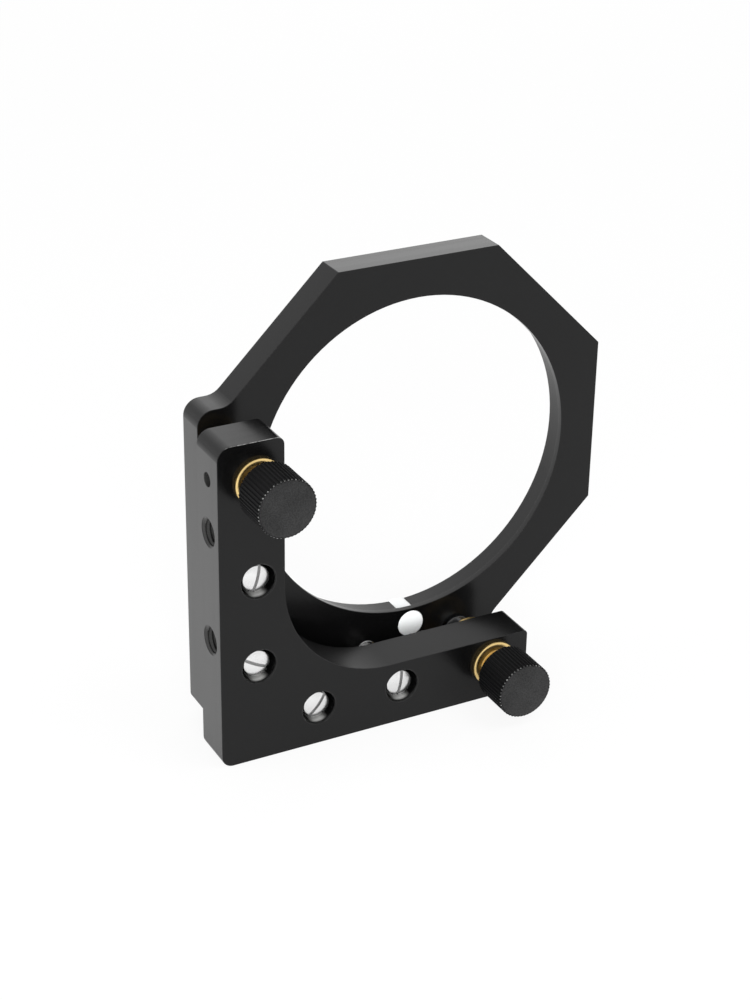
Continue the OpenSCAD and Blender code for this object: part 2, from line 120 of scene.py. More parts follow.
FLOOR_REACH = 4         # metres from the floor's middle to each side
FLOOR_WHITE = 0.88
FLOOR_MIRRORED = 0.5
WHITE = (1, 1, 1, 1)

MOUNT_BASE = "mount_base"
FRONT_FRAME = "front_frame"
ADJUSTERS = ("upper", "lower")
TENSION_SCREWS = [f"tension_screw_{i}" for i in range(1, 5)]
DISC_SPRINGS = [f"disc_springs_{i}" for i in range(1, 5)]
THREAD_INSERTS = [f"thread_insert_{i}" for i in range(1, 5)]


# ---------- sizes, colours and light ----------


def length(name, description, default):
    """A size in millimetres, kept in metres."""
    return FloatProperty(
        name=name, description=description, default=default * MM, min=0, unit="LENGTH", precision=5
    )


def colour(name, description, default):
    return FloatVectorProperty(
        name=name, description=description, default=default, size=3, min=0, max=1, subtype="COLOR"
    )


def share(name, description, default):
    return FloatProperty(
        name=name, description=description, default=default, min=0, max=1, subtype="FACTOR"
    )


def power(name, description, default):
    return FloatProperty(name=name, description=description, default=default, min=0, unit="POWER")


class EdgeSizes(bpy.types.PropertyGroup):
    plate: length("Plates", "Bevel on the plates' edges", 0.12)
    nut: length("Ring nuts", "Bevel on the ring nuts' edges", 0.1)
    lock_screw: length("Lock screws", "Bevel on the lock screws' edges", 0.2)
    insert: length("Inserts", "Bevel on the threaded inserts' edges", 0.25)
    flat_seat: length("Flat seat", "Bevel on the flat seat's edges", 0.15)
    rod: length("Rods", "Bevel on the nylon rods' edges", 0.2)
    optic_screw: length("Optic screw", "Bevel on the edges of the screw that holds the optic", 0.08)
    bushing: length("Bushings", "Rounding of the bushings' edges", 0.1)
    knob: length("Knobs", "Rounding of the edges of a knob's core", 0.03)
    nose: length("Noses", "Rounding of the edges of an adjuster's nose", 0.15)


class PlateSizes(bpy.types.PropertyGroup):
    counterbore: length("Counterbore", "Diameter of the counterbores", 7.6)
    tapped_major: length("Tapped hole diameter", "Major diameter of the mounting threads", 6.0)
    tapped_pitch: length("Tapped hole pitch", "Pitch of the mounting threads", 1.0)
    tapped_depth: length("Tapped hole thread depth", "Depth of the mounting thread's grooves", 0.52)


class AdjusterSizes(bpy.types.PropertyGroup):
    ribs: IntProperty(name="Ribs", description="Ribs of the straight knurl", default=49, min=12)
    rib_depth: length("Rib depth", "Height of a rib over its groove", 0.26)
    rib_crest: length("Rib crest", "Width of a rib's flat top", 0.3)
    knob_chamfer: length("Knob chamfer", "Chamfer on the ends of the ribs", 0.2)
    knob_bore: length("Knob bore", "Diameter of the recess that passes over the bushing's neck", 9.2)
    knob_bore_depth: length("Knob bore depth", "Depth of that recess", 2.5)
    screw_hole: length("Screw hole", "Diameter of the knob's hole for the adjuster screw", 6.04)
    screw_hole_depth: length("Screw hole depth", "Depth of that hole below the recess", 3.0)
    thread_pitch: length("Adjuster pitch", "Advance of an adjuster in one turn", 0.5)
    thread_depth: length("Adjuster thread depth", "Depth of the fine thread", 0.27)
    thread_chamfer: length("Thread chamfer", "Chamfer on the ends of the fine thread", 0.3)
    nose: length("Adjuster nose", "Diameter of the plain nose that holds the ball", 5.4)
    nose_length: length("Nose length", "Length of the plain nose", 2.6)
    ball_gap: length("Ball gap", "Gap between the ball and its cup in the nose", 0.03)
    bore: length("Bushing bore", "Diameter of the bushing's bore", 6.1)
    bore_chamfer: length("Bore chamfer", "Chamfer on both ends of that bore", 0.25)
    neck: length("Neck", "Diameter of the bushing's neck", 7.2)
    neck_length: length("Neck length", "Length of the bushing's neck past its flange", 1.7)
    flange_crown: length("Flange crown", "Width of the rounding on the flange's face", 1.1)
    flange_side: length("Flange side", "Height of that rounding on the flange's side", 0.5)
    flange_thickness: length("Flange", "Thickness of the bushing's flange", 1.2)
    body: length("Bushing body", "Diameter of the bushing in the back plate", 8.4)


class ScrewSizes(bpy.types.PropertyGroup):
    head_dome: length("Head dome", "Rise of the head's domed top", 0.6)
    head_rim: length("Head rim", "Height of the head's rim", 1.5)
    head_edge: length("Head edge", "Rounding of the head's edges", 0.12)
    slot_width: length("Slot width", "Width of the driver slot", 0.7)
    slot_depth: length("Slot depth", "Depth of the driver slot below the rim", 0.7)
    shank: length("Shank", "Major diameter of the screw's thread", 3.0)
    shank_pitch: length("Shank pitch", "Pitch of the screw's thread", 0.5)
    shank_depth: length("Shank thread depth", "Depth of the screw's thread", 0.29)
    slot_turns: FloatVectorProperty(
        name="Slot turns",
        description="Turn of each driver slot, from the top screw round the heel",
        default=[math.radians(a) for a in (74, 153, 50, 79)],
        size=4,
        subtype="EULER",
    )
    disc_bore: length("Disc bore", "Inner diameter of a disc spring", 3.4)
    disc_thickness: length("Disc thickness", "Thickness of a disc spring", 0.3)
    disc_cone: length("Disc cone", "Height of a disc spring's cone", 0.18)
    disc_count: IntProperty(name="Discs", description="Disc springs in a stack", default=10, min=2)


class Finishes(bpy.types.PropertyGroup):
    plate_black: colour("Plate black", "Black anodising of the plates", (0.0022, 0.0022, 0.0023))
    knob_black: colour("Knob black", "Matt black of the knobs", (0.0045, 0.0045, 0.0047))
    # bare aluminium on the worn edges; the same colour also paints the highlights in the counterbores and holes
    # and on the knobs' rib ends
    wear_and_glint_metal: colour("Bare aluminium", "Where the anodising is rubbed or worn off", (0.55, 0.55, 0.54))
    brass: colour("Brass", "The bushings and their nuts", (0.93, 0.68, 0.29))
    nickel: colour("Nickel", "The tension screws, the balls and the inserts", (0.84, 0.84, 0.84))
    steel: colour("Steel", "The adjuster screws and the set screws", (0.56, 0.565, 0.58))
    # a darkened copy of the steel: painted shade for the seats, which sit in the gap between the plates
    seat_steel: colour("Seat steel", "The hardened seats", (0.14, 0.14125, 0.145))
    spring_steel: colour("Spring steel", "The disc springs", (0.40, 0.40, 0.41))
    nylon: colour("Nylon", "The rods that the optic rests on", (0.91, 0.93, 0.935))
    edge_wear: share("Edge wear", "How much bare metal shows on the worn edge", 0.75)


class Studio(bpy.types.PropertyGroup):
    camera_place: FloatVectorProperty(
        name="Camera", description="Place of the camera", default=(-0.20464, -0.36493, 0.19878),
        size=3, subtype="TRANSLATION", unit="LENGTH", precision=5,
    )
    camera_turn: FloatVectorProperty(
        name="Camera turn", description="Heading, dip and roll of the camera",
        default=(math.radians(27.528), math.radians(26.338), math.radians(0.662)),
        size=3, subtype="EULER",
    )
    camera_lens: FloatProperty(name="Lens", description="Focal length in millimetres", default=77.21)
    camera_shift: FloatVectorProperty(
        name="Shift", description="Shift of the picture", default=(0.0228, -0.01053), size=2
    )
    world_fill: FloatProperty(name="Fill", description="Strength of the even light", default=0.5)
    key_power: power("Key", "Power of the lamp above", 2.2)
    side_power: power("Side", "Power of the lamp at the left", 4.0)
    back_power: power("Back", "Power of the lamp behind", 3.0)
    front_power: power("Front", "Power of the lamp in front", 12.0)


# Each lamp's side and place, in metres. They all look at the mount.
LAMPS = {
    "key": (0.5, (0.3, -0.35, 0.8)),
    "side": (0.6, (-0.85, 0.25, 0.15)),
    "back": (0.7, (0.45, 0.85, 0.55)),
    "front": (0.6, (-0.45, -0.85, 0.3)),
}

SETTINGS = {
    "mount_edges": EdgeSizes,
    "mount_plates": PlateSizes,
    "mount_adjusters": AdjusterSizes,
    "mount_screws": ScrewSizes,
    "mount_finishes": Finishes,
    "mount_studio": Studio,
}


# ---------- node trees ----------


class Link:
    """A node's output that Python arithmetic can go on from."""

    def __init__(self, graph, socket):
        self.graph = graph
        self.socket = socket

    def maths(self, operation, *terms):
        return self.graph.node("ShaderNodeMath", dict(enumerate(terms)), operation=operation)

    def __add__(self, other):
        return self.maths("ADD", self, other)

    def __sub__(self, other):
        return self.maths("SUBTRACT", self, other)

    def __rsub__(self, other):
        return self.maths("SUBTRACT", other, self)

    def __mul__(self, other):
        return self.maths("MULTIPLY", self, other)

    def __truediv__(self, other):
        return self.maths("DIVIDE", self, other)

    def __abs__(self):
        return self.maths("ABSOLUTE", self)

    def __lt__(self, other):
        return self.maths("LESS_THAN", self, other)

    def __gt__(self, other):
        return self.maths("GREATER_THAN", self, other)

    __radd__ = __add__
    __rmul__ = __mul__

    def at_most(self, other):
        return self.maths("MINIMUM", self, other)

    def at_least(self, other):
        return self.maths("MAXIMUM", self, other)

    def wave(self):
        """A triangle wave of period 1: it is 1 at whole numbers and 0 halfway between them."""
        return abs(self.maths("FRACT", self) * 2 - 1)


class Graph:
    """A node tree that is filled one node at a time."""

    def __init__(self, tree):
        self.tree = tree

    def node(self, kind, values=None, output=0, **settings):
        """Adds a node with its settings and the values or links of its sockets, and gives one output."""
        made = self.tree.nodes.new(kind)
        for name, value in settings.items():
            setattr(made, name, value)
        for key, value in (values or {}).items():
            if isinstance(value, Link):
                self.tree.links.new(value.socket, made.inputs[key])
            else:
                made.inputs[key].default_value = value
        return Link(self, made.outputs[output]) if made.outputs else None

    def vector(self, values):
        return self.node("ShaderNodeCombineXYZ", values)

    def copies(self, points, piece, turn):
        return self.node("GeometryNodeInstanceOnPoints", {
            "Points": points, "Instance": piece, "Rotation": turn,
        })


class Finish(Graph):
    """A material that is filled one node at a time."""

    def __init__(self, name):
        self.material = bpy.data.materials.new(name)
        self.material.use_nodes = True
        super().__init__(self.material.node_tree)
        self.tree.nodes.clear()
        self.place = self.node("ShaderNodeTexCoord", output="Object")

    def noise(self, scale, detail=2.0, stretch=None):
        place = self.place
        if stretch:
            place = self.node("ShaderNodeMapping", {"Vector": place, "Scale": stretch})
        return self.node("ShaderNodeTexNoise", {"Vector": place, "Scale": scale, "Detail": detail})

    def mark(self, name):
        """How far a part of the piece carries this mark, from 0 to 1."""
        return self.node("ShaderNodeAttribute", output="Fac", attribute_name=name)

    def axis(self, letter):
        return self.node("ShaderNodeSeparateXYZ", {"Vector": self.place}, output=letter)

    def step(self, value, low, high):
        """0 below low, 1 above high and even between them."""
        values = {"Value": value, "From Min": low, "From Max": high}
        return self.node("ShaderNodeMapRange", values, clamp=True)

    def blend(self, factor, first, second):
        """From one colour to another."""
        first, second = [c if isinstance(c, Link) else (*c, 1) for c in (first, second)]
        values = {"Factor": factor, 6: first, 7: second}
        return self.node("ShaderNodeMix", values, output=2, data_type="RGBA")

    def bump(self, height, depth, strength):
        return self.node("ShaderNodeBump", {"Height": height, "Distance": depth, "Strength": strength})

    def surface(self, values):
        shader = self.node("ShaderNodeBsdfPrincipled", values)
        self.node("ShaderNodeOutputMaterial", {"Surface": shader})
        return self.material


def scaled(tint, factor):
    return tuple(min(1.0, c * factor) for c in tint)


def anodised_plate():
    """Black anodising over a blasted face. The outer faces are milled after blasting and are glossier.
    Bare metal shows on the worn edge by the upper adjuster. Painted highlights, in the bare metal's colour, lie on
    the lower sides of the counterbores and faintly in the tapped and lock holes."""
    finishes = bpy.context.scene.mount_finishes
    low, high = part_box("back_plate")
    finish = Finish("anodised_plate")
    cloud = finish.noise(70, 3)
    grain = finish.noise(5200, 2)
    lines = finish.noise(900, 2, stretch=(1, 0.06, 1))
    speckle = finish.noise(1900, 3)
    top = finish.step(finish.axis("Z"), *[high.z - depth for depth in reversed(WEAR_DEPTHS)])
    near = 1 - finish.step(finish.axis("Y"), *[low.y + depth for depth in WEAR_DEPTHS])
    worn = finish.step(speckle + cloud * 0.4, 0.5, 0.78) * (top * near * 0.8 + 0.03)
    worn = finish.mark("edge") * worn * finishes.edge_wear
    # the painted highlights show only past the counterbores' mouths
    glint_depth = finish.step(finish.axis("Y"), *[low.y + depth for depth in GLINT_DEPTHS])
    bands = finish.noise(500, 2, stretch=(0.02, 1, 0.02))
    milled = finish.mark("milled") * (0.75 + 0.5 * bands)
    # bare metal on the worn edge, together with the painted highlights in the counterbores and holes
    bare = worn.at_least(finish.mark("bare") * glint_depth).at_most(1)
    tone = finish.blend(cloud, scaled(finishes.plate_black, 0.8), scaled(finishes.plate_black, 1.35))
    return finish.surface({
        "Base Color": finish.blend(bare, tone, finishes.wear_and_glint_metal),
        "Metallic": bare * 0.3,
        "Roughness": 0.2 + cloud * 0.06 + grain * 0.05 + bare * 0.3,
        "Coat Weight": milled,
        "Coat Roughness": 0.2,
        "IOR": 1.33,
        "Normal": finish.bump(grain * 0.7 + lines * 0.3, 0.004 * MM, 0.6),
    })


def anodised_knob():
    """Matt black. The knurl soaks up light and the faced end is sealed and glossier.
    A painted highlight, in the bare metal's colour, lies in patches on the chamfers at the ends of the ribs."""
    finishes = bpy.context.scene.mount_finishes
    finish = Finish("anodised_knob")
    cloud = finish.noise(240, 3)
    grain = finish.noise(3800, 3)
    mottle = grain * 0.7 + cloud * 0.3
    dark, pale = [scaled(finishes.knob_black, factor) for factor in (0.6, 1.6)]
    tone = finish.blend(grain * 0.6 + cloud * 0.4, dark, pale)
    # painted highlight on the rib ends' chamfers, in patches
    patches = 0.3 + 0.7 * finish.step(finish.noise(1100, 1), 0.4, 0.58)
    worn = finish.mark("worn") * patches * finish.step(mottle, 0.35, 0.65)
    return finish.surface({
        "Base Color": finish.blend(worn * 0.4, tone, finishes.wear_and_glint_metal),
        "Roughness": 0.45 + grain * 0.16 + cloud * 0.05,
        "Coat Weight": finish.mark("faced") * (0.42 + 0.5 * finish.step(mottle, 0.36, 0.64)),
        "Coat Roughness": 0.36,
        "IOR": 1.16,
        "Normal": finish.bump(grain, 0.02 * MM, 0.7),
    })


def turned_metal(name, tint, rough, ring_depth, tarnish):
    """Bare metal from a lathe: fine rings along its length, a faint tarnish, and painted shade on the floors of
    its slots, which are also rougher.
    """
    tint = getattr(bpy.context.scene.mount_finishes, tint)
    finish = Finish(name)
    rings = finish.noise(5000, 1, stretch=(0.04, 1, 0.04))
    cloud = finish.noise(300, 3)
    # painted shade on the slot floors: a darker colour, and rougher
    slot_shade = finish.mark("slot")
    tone = finish.blend(cloud, tint, scaled(tint, 1 - 2 * tarnish))
    return finish.surface({
        "Base Color": finish.blend(slot_shade, tone, scaled(tint, 0.55)),
        "Metallic": 1.0,
        "Roughness": rough + (cloud - 0.5) * 0.1 + rings * 0.05 + slot_shade * 0.2,
        "Normal": finish.bump(rings, ring_depth * MM, 0.5),
    })


def nylon():
    """Natural nylon rod: milky, a little uneven, with faint turning marks."""
    finishes = bpy.context.scene.mount_finishes
    finish = Finish("nylon")
    cloud = finish.noise(500, 3)
    marks = finish.noise(3200, 2, stretch=(1, 0.1, 1))
    return finish.surface({
        "Base Color": finish.blend(cloud, finishes.nylon, scaled(finishes.nylon, 0.93)),
        "Roughness": 0.38 + cloud * 0.1,
        "IOR": 1.53,
        "Normal": finish.bump(marks, 0.01 * MM, 0.5),
    })


# For each slot of turned metal: its material, colour, roughness, depth of the rings in mm and tarnish
TURNED_METALS = {
    "brass": ("turned_brass", "brass", 0.27, 0.02, 0.12),
    "nickel_screw": ("bright_nickel", "nickel", 0.24, 0.006, 0.05),
    "bearing_steel": ("polished_ball", "nickel", 0.08, 0.0, 0.02),
    # the seats take that darkened steel: painted shade
    "hardened_steel": ("ground_seat", "seat_steel", 0.25, 0.004, 0.12),
    "adjuster_steel": ("rolled_thread", "steel", 0.26, 0.006, 0.12),
    "set_screw_steel": ("plated_set_screw", "steel", 0.3, 0.006, 0.12),
    "spring_steel": ("oiled_disc_spring", "spring_steel", 0.3, 0.008, 0.12),
    "insert_steel": ("plain_insert", "nickel", 0.16, 0.004, 0.12),
}
OTHER_FINISHES = {"anodised_plate": anodised_plate, "anodised_knob": anodised_knob, "nylon": nylon}
MADE = {}


def finish_for(slot):
    """The material of one of the record's slots, made when it is first asked for."""
    if slot not in MADE:
        metal = TURNED_METALS.get(slot)
        material = turned_metal(*metal) if metal else OTHER_FINISHES[slot]()
        MADE[slot] = material.name
    return bpy.data.materials[MADE[slot]]


# ---------- meshes ----------


def place_along(axis, start):
    """What takes a piece built up along Z from the origin to its start, up along axis."""
    turn = Vector((0, 0, 1)).rotation_difference(Vector(axis))
    return Matrix.Translation(start) @ turn.to_matrix().to_4x4()


def middle(node):
    """The centre of a node's box."""
    low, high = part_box(node)
    return (low + high) / 2


def lying(node):
    """The end with the lower Y, the radius and the length of a node that is turned along Y."""
    low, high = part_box(node)
    return low.y, (high.x - low.x) / 2, high.y - low.y


def laid(mesh, node):
    """Lays a mesh that was built up along Z on a node's own axis along Y, from its lower end."""
    place = middle(node)
    mesh.transform(place_along(ALONG_Y, (place.x, lying(node)[0], place.z)))
    return mesh


def apart(first, second):
    """The distance between two points as seen along Y."""
    return math.hypot(first.x - second.x, first.z - second.z)


def new_piece(name, mesh):
    piece = bpy.data.objects.new(name, mesh)
    bpy.context.scene.collection.objects.link(piece)
    return piece


def shade(mesh):
    """Smooth faces with crisp edges between them."""
    mesh.polygons.foreach_set("use_smooth", [True] * len(mesh.polygons))
    mesh.set_sharp_from_angle(angle=SMOOTH_ANGLE)


def bend_points(before, corner, after, radius, steps):
    """An arc in place of a profile's corner."""
    before, corner, after = Vector(before), Vector(corner), Vector(after)
    back = (before - corner).normalized()
    on = (after - corner).normalized()
    half = back.angle(on) / 2
    reach = min(radius / math.tan(half), 0.45 * (before - corner).length, 0.45 * (after - corner).length)
    points = []
    for i in range(steps + 1):
        t = i / steps
        first = corner + back * reach * (1 - t)
        second = corner + on * reach * t
        points.append(tuple(first.lerp(second, t)))
    return points


def eased(profile, radius, steps=3):
    """The profile with each corner but its two ends rounded."""
    points = [profile[0]]
    for before, corner, after in zip(profile, profile[1:], profile[2:]):
        points += bend_points(before, corner, after, radius, steps)
    return points + [profile[-1]]


def turned(profile, sides=ROUND_SIDES, closed=False):
    """A bmesh turned about Z from a profile of (radius, height). A closed profile makes a ring."""
    work = bmesh.new()
    rings = []
    for radius, height in profile:
        if radius < WELD:
            rings.append([work.verts.new((0, 0, height))] * sides)
            continue
        angles = [2 * math.pi * i / sides for i in range(sides)]
        rings.append([work.verts.new((radius * math.cos(a), radius * math.sin(a), height)) for a in angles])
    pairs = list(zip(rings, rings[1:])) + ([(rings[-1], rings[0])] if closed else [])
    for first, second in pairs:
        for i in range(sides):
            j = (i + 1) % sides
            corners = []
            for vert in (first[i], first[j], second[j], second[i]):
                if vert not in corners:
                    corners.append(vert)
            if len(corners) > 2:
                work.faces.new(corners)
    bmesh.ops.recalc_face_normals(work, faces=work.faces)
    return work


def mesh_of(work, name, matrix=None):
    """Turns a bmesh into a mesh, and puts it in place."""
    mesh = bpy.data.meshes.new(name)
    if matrix:
        work.transform(matrix)
    work.to_mesh(mesh)
    work.free()
    shade(mesh)
    return mesh


def joined(name, meshes):
    """One mesh from several, which are used up."""
    work = bmesh.new()
    for mesh in meshes:
        work.from_mesh(mesh)
        bpy.data.meshes.remove(mesh)
    return mesh_of(work, name)


def cut(mesh, cutters):
    """Takes the cutters' meshes out of a mesh."""
    piece = new_piece(mesh.name, mesh)
    for cutter in cutters:
        tool = new_piece("cutter", cutter)
        modifier = piece.modifiers.new("Cut", "BOOLEAN")
        modifier.operation = "DIFFERENCE"
        modifier.solver = "EXACT"
        modifier.object = tool
        baked(piece)
        bpy.data.objects.remove(tool)
    result = piece.data
    bpy.data.objects.remove(piece)
    shade(result)
    return result


def baked(piece):
    """Turns what the modifiers make of a piece into its own mesh."""
    bpy.context.view_layer.update()
    seen = piece.evaluated_get(bpy.context.evaluated_depsgraph_get())
    mesh = bpy.data.meshes.new_from_object(seen)
    piece.modifiers.clear()
    piece.data = mesh
    return piece


def broken_edges(node, width):
    """A copy of a node's mesh with whole flats and a small bevel on its edges.
    The attribute edge is 1 along the middle of each bevel."""
    work = bmesh.new()
    work.from_mesh(frame["nodes"][node].data)
    bmesh.ops.remove_doubles(work, verts=work.verts, dist=WELD)
    bmesh.ops.dissolve_limit(work, angle_limit=FLAT_ANGLE, verts=work.verts, edges=work.edges)
    crisp = [e for e in work.edges if len(e.link_faces) == 2 and e.calc_face_angle() > BEVEL_ANGLE]
    made = bmesh.ops.bevel(
        work, geom=crisp, offset=width, offset_type="OFFSET", segments=2, profile=0.5,
        affect="EDGES", clamp_overlap=False,
    )
    bevel_faces = set(made["faces"])
    edge = work.verts.layers.float.new("edge")
    for vert in work.verts:
        if all(face in bevel_faces for face in vert.link_faces):
            vert[edge] = 1.0
    mesh = bpy.data.meshes.new(node)
    work.to_mesh(mesh)
    work.free()
    return mesh


def weighted(piece):
    """Lets the large flats of a piece keep their shading up to the bevels."""
    for polygon in piece.data.polygons:
        polygon.use_smooth = True
    piece.data.set_sharp_from_angle(angle=FLATS_ANGLE)
    modifier = piece.modifiers.new("Flats", "WEIGHTED_NORMAL")
    modifier.keep_sharp = True
    return baked(piece)


def mark_faces(piece, name, chosen):
    """Marks each face corner with what chosen makes of the face's centre and normal and its own place."""
    mesh = piece.data
    mark = mesh.attributes.new(name, "FLOAT", "CORNER")
    for face in mesh.polygons:
        for loop in face.loop_indices:
            corner = mesh.vertices[mesh.loops[loop].vertex_index].co
            mark.data[loop].value = float(chosen(face.center, face.normal, corner))


def facing_up(normal):
    """1 for a level face, falling to 0 for one that slopes by 40 degrees."""
    return max(0, (normal.z - LEVEL) / (1 - LEVEL))


def dress(piece, body, slot, nodes):
    """Gives a finished piece its material and its body, and hides the nodes that it stands for."""
    piece.data.materials.clear()
    piece.data.materials.append(finish_for(slot))
    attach(piece, body)
    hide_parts(*nodes)
    return piece


def bevelled(name, node, width, body, slot):
    """A piece in the shape of its node, with broken edges."""
    return dress(weighted(new_piece(name, broken_edges(node, width))), body, slot, [node])


def keep_node(node, slot):
    """Gives a node that keeps its own shape its material."""
    frame["nodes"][node].material_slots[0].material = finish_for(slot)


# ---------- geometry nodes ----------


def rule(name, sizes):
    """A geometry node tree with named inputs, and the links that they give."""
    tree = bpy.data.node_groups.new(name, "GeometryNodeTree")
    tree.interface.new_socket("Geometry", in_out="INPUT", socket_type="NodeSocketGeometry")
    tree.interface.new_socket("Geometry", in_out="OUTPUT", socket_type="NodeSocketGeometry")
    for size, kind in {**sizes, "Material": "NodeSocketMaterial"}.items():
        tree.interface.new_socket(size, in_out="INPUT", socket_type=kind)
    graph = Graph(tree)
    given = graph.node("NodeGroupInput")
    outputs = given.socket.node.outputs
    return graph, {name: Link(graph, outputs[name]) for name in ("Geometry", *sizes, "Material")}


def close_rule(graph, geometry, material):
    """Ends a tree in plain geometry with its material."""
    real = graph.node("GeometryNodeRealizeInstances", {"Geometry": geometry})
    done = graph.node("GeometryNodeSetMaterial", {"Geometry": real, "Material": material})
    graph.node("NodeGroupOutput", {"Geometry": done})
    return graph.tree


def grown(tree, sizes, start=None):
    """The mesh that a tree makes with these sizes."""
    mesh = start or bpy.data.meshes.new(tree.name)
    piece = new_piece(tree.name, mesh)
    modifier = piece.modifiers.new("Rule", "NODES")
    modifier.node_group = tree
    for item in tree.interface.items_tree:
        if item.in_out == "INPUT" and item.name in sizes:
            modifier[item.identifier] = sizes[item.name]
    baked(piece)
    result = piece.data
    bpy.data.objects.remove(piece)
    return result


def threaded_bar_rule():
    """A bar along Z with a right-hand thread: a grid rolled up, its rows following the helix."""
    number, whole = "NodeSocketFloat", "NodeSocketInt"
    graph, given = rule("threaded_bar", {
        "Radius": number, "Depth": number, "Pitch": number, "Length": number, "Chamfer": number,
        "Sides": whole, "Rows": whole,
    })
    grid = graph.node("GeometryNodeMeshGrid", {
        "Size X": 1.0, "Size Y": 1.0, "Vertices X": given["Sides"] + 1, "Vertices Y": given["Rows"] + 2,
    })
    place = graph.node("GeometryNodeInputPosition")
    across = graph.node("ShaderNodeSeparateXYZ", {"Vector": place}, output="X") + 0.5
    row = (graph.node("ShaderNodeSeparateXYZ", {"Vector": place}, output="Y") + 0.5) * (given["Rows"] + 1)
    row = row.maths("ROUND", row)
    up = ((row - 1) / (given["Rows"] - 1)).at_least(0).at_most(1) * given["Length"]
    radius = given["Radius"] - given["Depth"] * (1 - (up / given["Pitch"] - across).wave())
    from_end = up.at_most(given["Length"] - up)
    radius = radius.at_most(given["Radius"] - given["Chamfer"] + from_end)
    radius = radius * (row > 0.5) * (row < given["Rows"] + 0.5)
    angle = across * (2 * math.pi)
    spot = graph.vector({
        "X": radius * angle.maths("COSINE", angle), "Y": radius * angle.maths("SINE", angle), "Z": up,
    })
    moved = graph.node("GeometryNodeSetPosition", {"Geometry": grid, "Position": spot})
    welded = graph.node("GeometryNodeMergeByDistance", {"Geometry": moved, "Distance": WELD})
    return close_rule(graph, welded, given["Material"])


def ring_rule():
    """Copies of a piece, spread evenly round the Z axis."""
    graph, given = rule("ring_of_copies", {"Piece": "NodeSocketObject", "Copies": "NodeSocketInt"})
    points = graph.node("GeometryNodeMeshLine", {"Count": given["Copies"], "Offset": (0, 0, 0)})
    piece = graph.node("GeometryNodeObjectInfo", {"Object": given["Piece"]}, output="Geometry")
    index = graph.node("GeometryNodeInputIndex")
    turn = graph.vector({"Z": index * (2 * math.pi) / given["Copies"]})
    return close_rule(graph, graph.copies(points, piece, turn), given["Material"])


def stack_rule():
    """Copies of a piece up the Z axis, each turned over against the last."""
    graph, given = rule("turned_over_stack", {
        "Copies": "NodeSocketInt", "Step": "NodeSocketFloat", "Height": "NodeSocketFloat",
    })
    index = graph.node("GeometryNodeInputIndex")
    over = index.maths("MODULO", index, 2)
    points = graph.node("GeometryNodeMeshLine", {"Count": given["Copies"], "Offset": (0, 0, 0)})
    rise = graph.vector({"Z": index * given["Step"] + over * given["Height"]})
    points = graph.node("GeometryNodeSetPosition", {"Geometry": points, "Position": rise})
    turn = graph.vector({"X": over * math.pi})
    return close_rule(graph, graph.copies(points, given["Geometry"], turn), given["Material"])


def stations_rule():
    """A copy of a piece at each point, turned about the Y axis by the point's own attribute turn."""
    graph, given = rule("copies_at_stations", {"Piece": "NodeSocketObject"})
    piece = graph.node("GeometryNodeObjectInfo", {"Object": given["Piece"]}, output="Geometry")
    turn = graph.node(
        "GeometryNodeInputNamedAttribute", {"Name": "turn"}, output="Attribute", data_type="FLOAT"
    )
    copies = graph.copies(given["Geometry"], piece, graph.vector({"Y": turn}))
    return close_rule(graph, copies, given["Material"])


def threaded_bar(radius, depth, pitch, length, slot, sides, chamfer=0.0, rows_a_turn=4):
    """A threaded bar's mesh, up along Z from the origin."""
    return grown(threaded_bar_rule(), {
        "Radius": radius, "Depth": depth, "Pitch": pitch, "Length": length, "Chamfer": chamfer,
        "Sides": sides, "Rows": max(4, round(length / pitch * rows_a_turn) + 1),
        "Material": finish_for(slot),
    })


def repeated(tree, mesh, sizes, start=None):
    """Copies of a mesh, which is used up, spread by a tree."""
    pattern = new_piece("pattern", mesh)
    copies = grown(tree, {"Piece": pattern, **sizes}, start)
    bpy.data.objects.remove(pattern)
    return copies


def at_stations(mesh, nodes, slot, turns=None):
    """Copies of a mesh at the axes of these nodes."""
    stations = bpy.data.meshes.new("stations")
    stations.from_pydata([(middle(n).x, 0, middle(n).z) for n in nodes], [], [])
    turn = stations.attributes.new("turn", "FLOAT", "POINT")
    turn.data.foreach_set("value", list(turns or [0.0] * len(nodes)))
    return repeated(stations_rule(), mesh, {"Material": finish_for(slot)}, stations)


# ---------- the mount's pieces ----------


